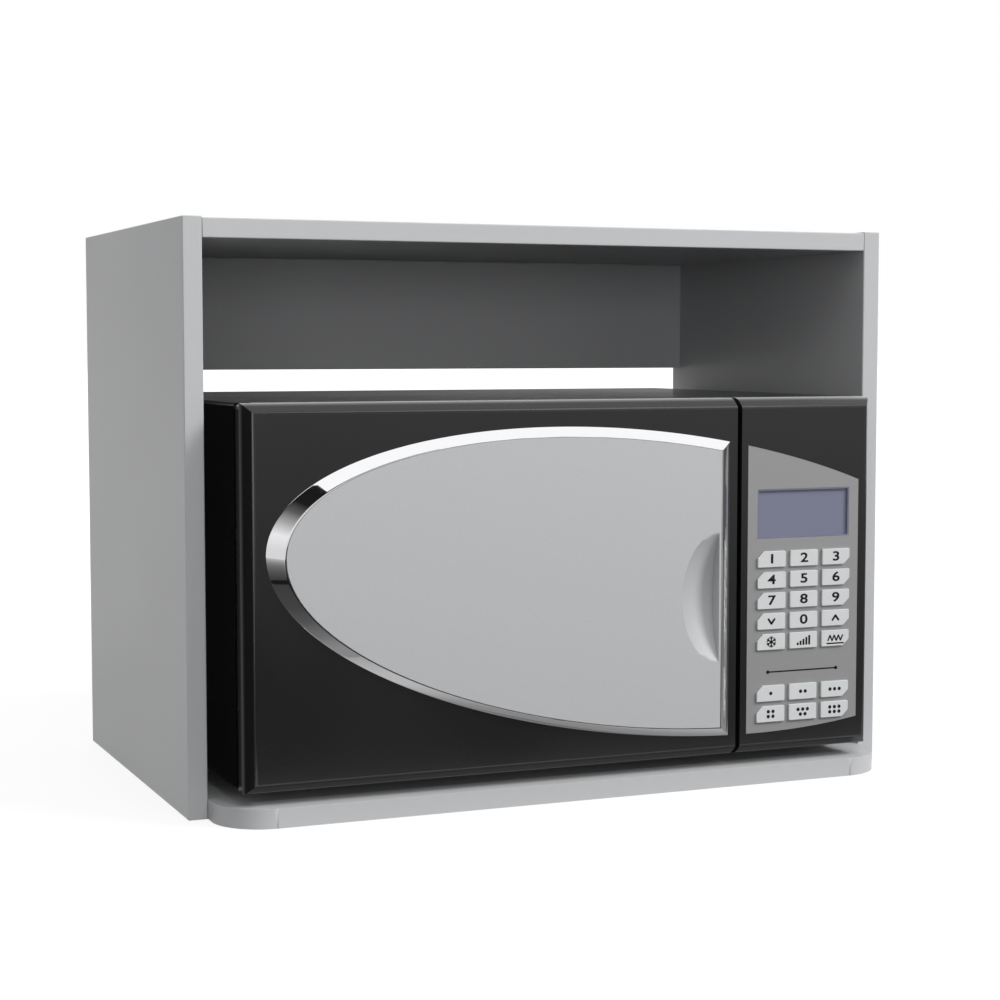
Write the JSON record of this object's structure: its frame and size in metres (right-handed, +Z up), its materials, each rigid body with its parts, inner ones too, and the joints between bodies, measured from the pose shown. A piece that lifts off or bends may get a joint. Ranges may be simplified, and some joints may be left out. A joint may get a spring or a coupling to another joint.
{
  "type": "microwave cabinet",
  "caption": "Open wall cabinet in silver-grey board with a microwave oven on its rounded shelf: half-ellipse door panel with a bright rim, display and keypad.",
  "frame": {"origin": "middle of the bottom board's underside", "axes": "+X to the right seen from the front, +Y towards the wall, +Z up"},
  "size_m": [0.6, 0.401, 0.45],
  "materials": {
    "board": "particle board with a smooth silver-grey coating, satin",
    "beech": "plain turned beech",
    "zinc": "zinc-plated steel",
    "black_enamel": "fine-textured black baked paint",
    "galvanised": "galvanised sheet",
    "grey_enamel": "light grey enamel",
    "choke_enamel": "grey baked paint",
    "black_rubber": "moulded rubber, matte",
    "black_plastic": "moulded black plastic, satin",
    "silver_plastic": "silver-lacquered plastic, satin",
    "fascia_plastic": "darker silver lacquer, satin",
    "chrome_trim": "polished plating",
    "display_window": "bluish-grey tinted window",
    "circuit_board": "green laminate with small parts",
    "white_nylon": "natural nylon",
    "works_steel": "plated steel",
    "clear_glass": "clear toughened glass",
    "mica": "pressed mica sheet",
    "key_plastic": "pale grey moulded plastic, satin"
  },
  "bodies": {
    "cabinet": {"left_side": "board", "right_side": "board", "top_board": "board", "bottom_board": "board", "back_rail": "board", "dowels": "beech", "cam_fittings": "zinc", "screws": "zinc", "hanger_plates": "zinc", "hinge_plates": "zinc", "oven_casing": "black_enamel", "oven_base": "galvanised", "rear_plate": "galvanised", "fan_motor": "galvanised", "cavity": "grey_enamel", "oven_feet": "black_rubber", "cord_gland": "black_rubber", "control_bezel": "black_plastic", "fascia": "fascia_plastic", "display": "display_window", "control_board": "circuit_board", "latch_block": "white_nylon", "magnetron": "works_steel", "power_supply": "works_steel", "turntable_motor": "works_steel", "mica_cover": "mica"},
    "oven_door": {"door_frame": "black_plastic", "door_panel": "silver_plastic", "door_rim": "chrome_trim", "choke_plate": "choke_enamel", "door_liner": "black_plastic"},
    "latch": {"latch_hooks": "white_nylon"},
    "turntable": {"glass_tray": "clear_glass", "coupler": "white_nylon"},
    "roller_carrier": {"roller_ring": "white_nylon"},
    "roller_wheel_1": {"roller_1": "white_nylon"},
    "roller_wheel_2": {"roller_2": "white_nylon"},
    "roller_wheel_3": {"roller_3": "white_nylon"},
    "fan_rotor": {"fan": "white_nylon"},
    "push_key_1": {"key_1": "key_plastic"},
    "push_key_2": {"key_2": "key_plastic"},
    "push_key_3": {"key_3": "key_plastic"},
    "push_key_4": {"key_4": "key_plastic"},
    "push_key_5": {"key_5": "key_plastic"},
    "push_key_6": {"key_6": "key_plastic"},
    "push_key_7": {"key_7": "key_plastic"},
    "push_key_8": {"key_8": "key_plastic"},
    "push_key_9": {"key_9": "key_plastic"},
    "push_key_down": {"key_down": "key_plastic"},
    "push_key_0": {"key_0": "key_plastic"},
    "push_key_up": {"key_up": "key_plastic"},
    "push_key_thaw": {"key_thaw": "key_plastic"},
    "push_key_power": {"key_power": "key_plastic"},
    "push_key_grill": {"key_grill": "key_plastic"},
    "push_key_program_1": {"key_program_1": "key_plastic"},
    "push_key_program_2": {"key_program_2": "key_plastic"},
    "push_key_program_3": {"key_program_3": "key_plastic"},
    "push_key_program_4": {"key_program_4": "key_plastic"},
    "push_key_program_5": {"key_program_5": "key_plastic"},
    "push_key_program_6": {"key_program_6": "key_plastic"}
  },
  "joints": [
    {"name": "door_swing", "type": "hinge", "parent": "cabinet", "child": "oven_door", "pos_m": [-0.2639, -0.1785, 0.169], "axis": [0, 0, -1], "range_deg": [0, 105]},
    {"name": "latch_lift", "type": "slide", "parent": "oven_door", "child": "latch", "axis": [0, 0, 1], "range_m": [0, 0.004], "stiffness_N_per_m": 300, "springref_m": -0.002},
    {"name": "tray_spin", "type": "hinge", "parent": "cabinet", "child": "turntable", "pos_m": [-0.0681, -0.0115, 0.0786], "axis": [0, 0, 1], "continuous": true},
    {"name": "ring_roll", "type": "hinge", "parent": "cabinet", "child": "roller_carrier", "pos_m": [-0.0681, -0.0115, 0.0703], "axis": [0, 0, 1], "continuous": true},
    {"name": "fan_spin", "type": "hinge", "parent": "cabinet", "child": "fan_rotor", "pos_m": [0.1786, 0.16, 0.20356], "axis": [0, 1, 0], "continuous": true},
    {"name": "wheel_1", "type": "hinge", "parent": "roller_carrier", "child": "roller_wheel_1", "pos_m": [-0.0681, 0.0785, 0.0703], "axis": [0, 1, 0], "continuous": true},
    {"name": "wheel_2", "type": "hinge", "parent": "roller_carrier", "child": "roller_wheel_2", "pos_m": [-0.14604, -0.0565, 0.0703], "axis": [-0.866, -0.5, 0], "continuous": true},
    {"name": "wheel_3", "type": "hinge", "parent": "roller_carrier", "child": "roller_wheel_3", "pos_m": [0.00984, -0.0565, 0.0703], "axis": [0.866, -0.5, 0], "continuous": true},
    {"name": "press_key_1", "type": "slide", "parent": "cabinet", "child": "push_key_1", "axis": [0, 1, 0], "range_m": [0, 0.0012], "stiffness_N_per_m": 500, "springref_m": -0.002},
    {"name": "press_key_2", "type": "slide", "parent": "cabinet", "child": "push_key_2", "axis": [0, 1, 0], "range_m": [0, 0.0012], "stiffness_N_per_m": 500, "springref_m": -0.002},
    {"name": "press_key_3", "type": "slide", "parent": "cabinet", "child": "push_key_3", "axis": [0, 1, 0], "range_m": [0, 0.0012], "stiffness_N_per_m": 500, "springref_m": -0.002},
    {"name": "press_key_4", "type": "slide", "parent": "cabinet", "child": "push_key_4", "axis": [0, 1, 0], "range_m": [0, 0.0012], "stiffness_N_per_m": 500, "springref_m": -0.002},
    {"name": "press_key_5", "type": "slide", "parent": "cabinet", "child": "push_key_5", "axis": [0, 1, 0], "range_m": [0, 0.0012], "stiffness_N_per_m": 500, "springref_m": -0.002},
    {"name": "press_key_6", "type": "slide", "parent": "cabinet", "child": "push_key_6", "axis": [0, 1, 0], "range_m": [0, 0.0012], "stiffness_N_per_m": 500, "springref_m": -0.002},
    {"name": "press_key_7", "type": "slide", "parent": "cabinet", "child": "push_key_7", "axis": [0, 1, 0], "range_m": [0, 0.0012], "stiffness_N_per_m": 500, "springref_m": -0.002},
    {"name": "press_key_8", "type": "slide", "parent": "cabinet", "child": "push_key_8", "axis": [0, 1, 0], "range_m": [0, 0.0012], "stiffness_N_per_m": 500, "springref_m": -0.002},
    {"name": "press_key_9", "type": "slide", "parent": "cabinet", "child": "push_key_9", "axis": [0, 1, 0], "range_m": [0, 0.0012], "stiffness_N_per_m": 500, "springref_m": -0.002},
    {"name": "press_key_down", "type": "slide", "parent": "cabinet", "child": "push_key_down", "axis": [0, 1, 0], "range_m": [0, 0.0012], "stiffness_N_per_m": 500, "springref_m": -0.002},
    {"name": "press_key_0", "type": "slide", "parent": "cabinet", "child": "push_key_0", "axis": [0, 1, 0], "range_m": [0, 0.0012], "stiffness_N_per_m": 500, "springref_m": -0.002},
    {"name": "press_key_up", "type": "slide", "parent": "cabinet", "child": "push_key_up", "axis": [0, 1, 0], "range_m": [0, 0.0012], "stiffness_N_per_m": 500, "springref_m": -0.002},
    {"name": "press_key_thaw", "type": "slide", "parent": "cabinet", "child": "push_key_thaw", "axis": [0, 1, 0], "range_m": [0, 0.0012], "stiffness_N_per_m": 500, "springref_m": -0.002},
    {"name": "press_key_power", "type": "slide", "parent": "cabinet", "child": "push_key_power", "axis": [0, 1, 0], "range_m": [0, 0.0012], "stiffness_N_per_m": 500, "springref_m": -0.002},
    {"name": "press_key_grill", "type": "slide", "parent": "cabinet", "child": "push_key_grill", "axis": [0, 1, 0], "range_m": [0, 0.0012], "stiffness_N_per_m": 500, "springref_m": -0.002},
    {"name": "press_key_program_1", "type": "slide", "parent": "cabinet", "child": "push_key_program_1", "axis": [0, 1, 0], "range_m": [0, 0.0012], "stiffness_N_per_m": 500, "springref_m": -0.002},
    {"name": "press_key_program_2", "type": "slide", "parent": "cabinet", "child": "push_key_program_2", "axis": [0, 1, 0], "range_m": [0, 0.0012], "stiffness_N_per_m": 500, "springref_m": -0.002},
    {"name": "press_key_program_3", "type": "slide", "parent": "cabinet", "child": "push_key_program_3", "axis": [0, 1, 0], "range_m": [0, 0.0012], "stiffness_N_per_m": 500, "springref_m": -0.002},
    {"name": "press_key_program_4", "type": "slide", "parent": "cabinet", "child": "push_key_program_4", "axis": [0, 1, 0], "range_m": [0, 0.0012], "stiffness_N_per_m": 500, "springref_m": -0.002},
    {"name": "press_key_program_5", "type": "slide", "parent": "cabinet", "child": "push_key_program_5", "axis": [0, 1, 0], "range_m": [0, 0.0012], "stiffness_N_per_m": 500, "springref_m": -0.002},
    {"name": "press_key_program_6", "type": "slide", "parent": "cabinet", "child": "push_key_program_6", "axis": [0, 1, 0], "range_m": [0, 0.0012], "stiffness_N_per_m": 500, "springref_m": -0.002}
  ],
  "couplings": [
    {"joint": "ring_roll", "follows": "tray_spin", "ratio": 0.5},
    {"joint": "wheel_1", "follows": "tray_spin", "ratio": -5.625},
    {"joint": "wheel_2", "follows": "tray_spin", "ratio": -5.625},
    {"joint": "wheel_3", "follows": "tray_spin", "ratio": -5.625}
  ]
}
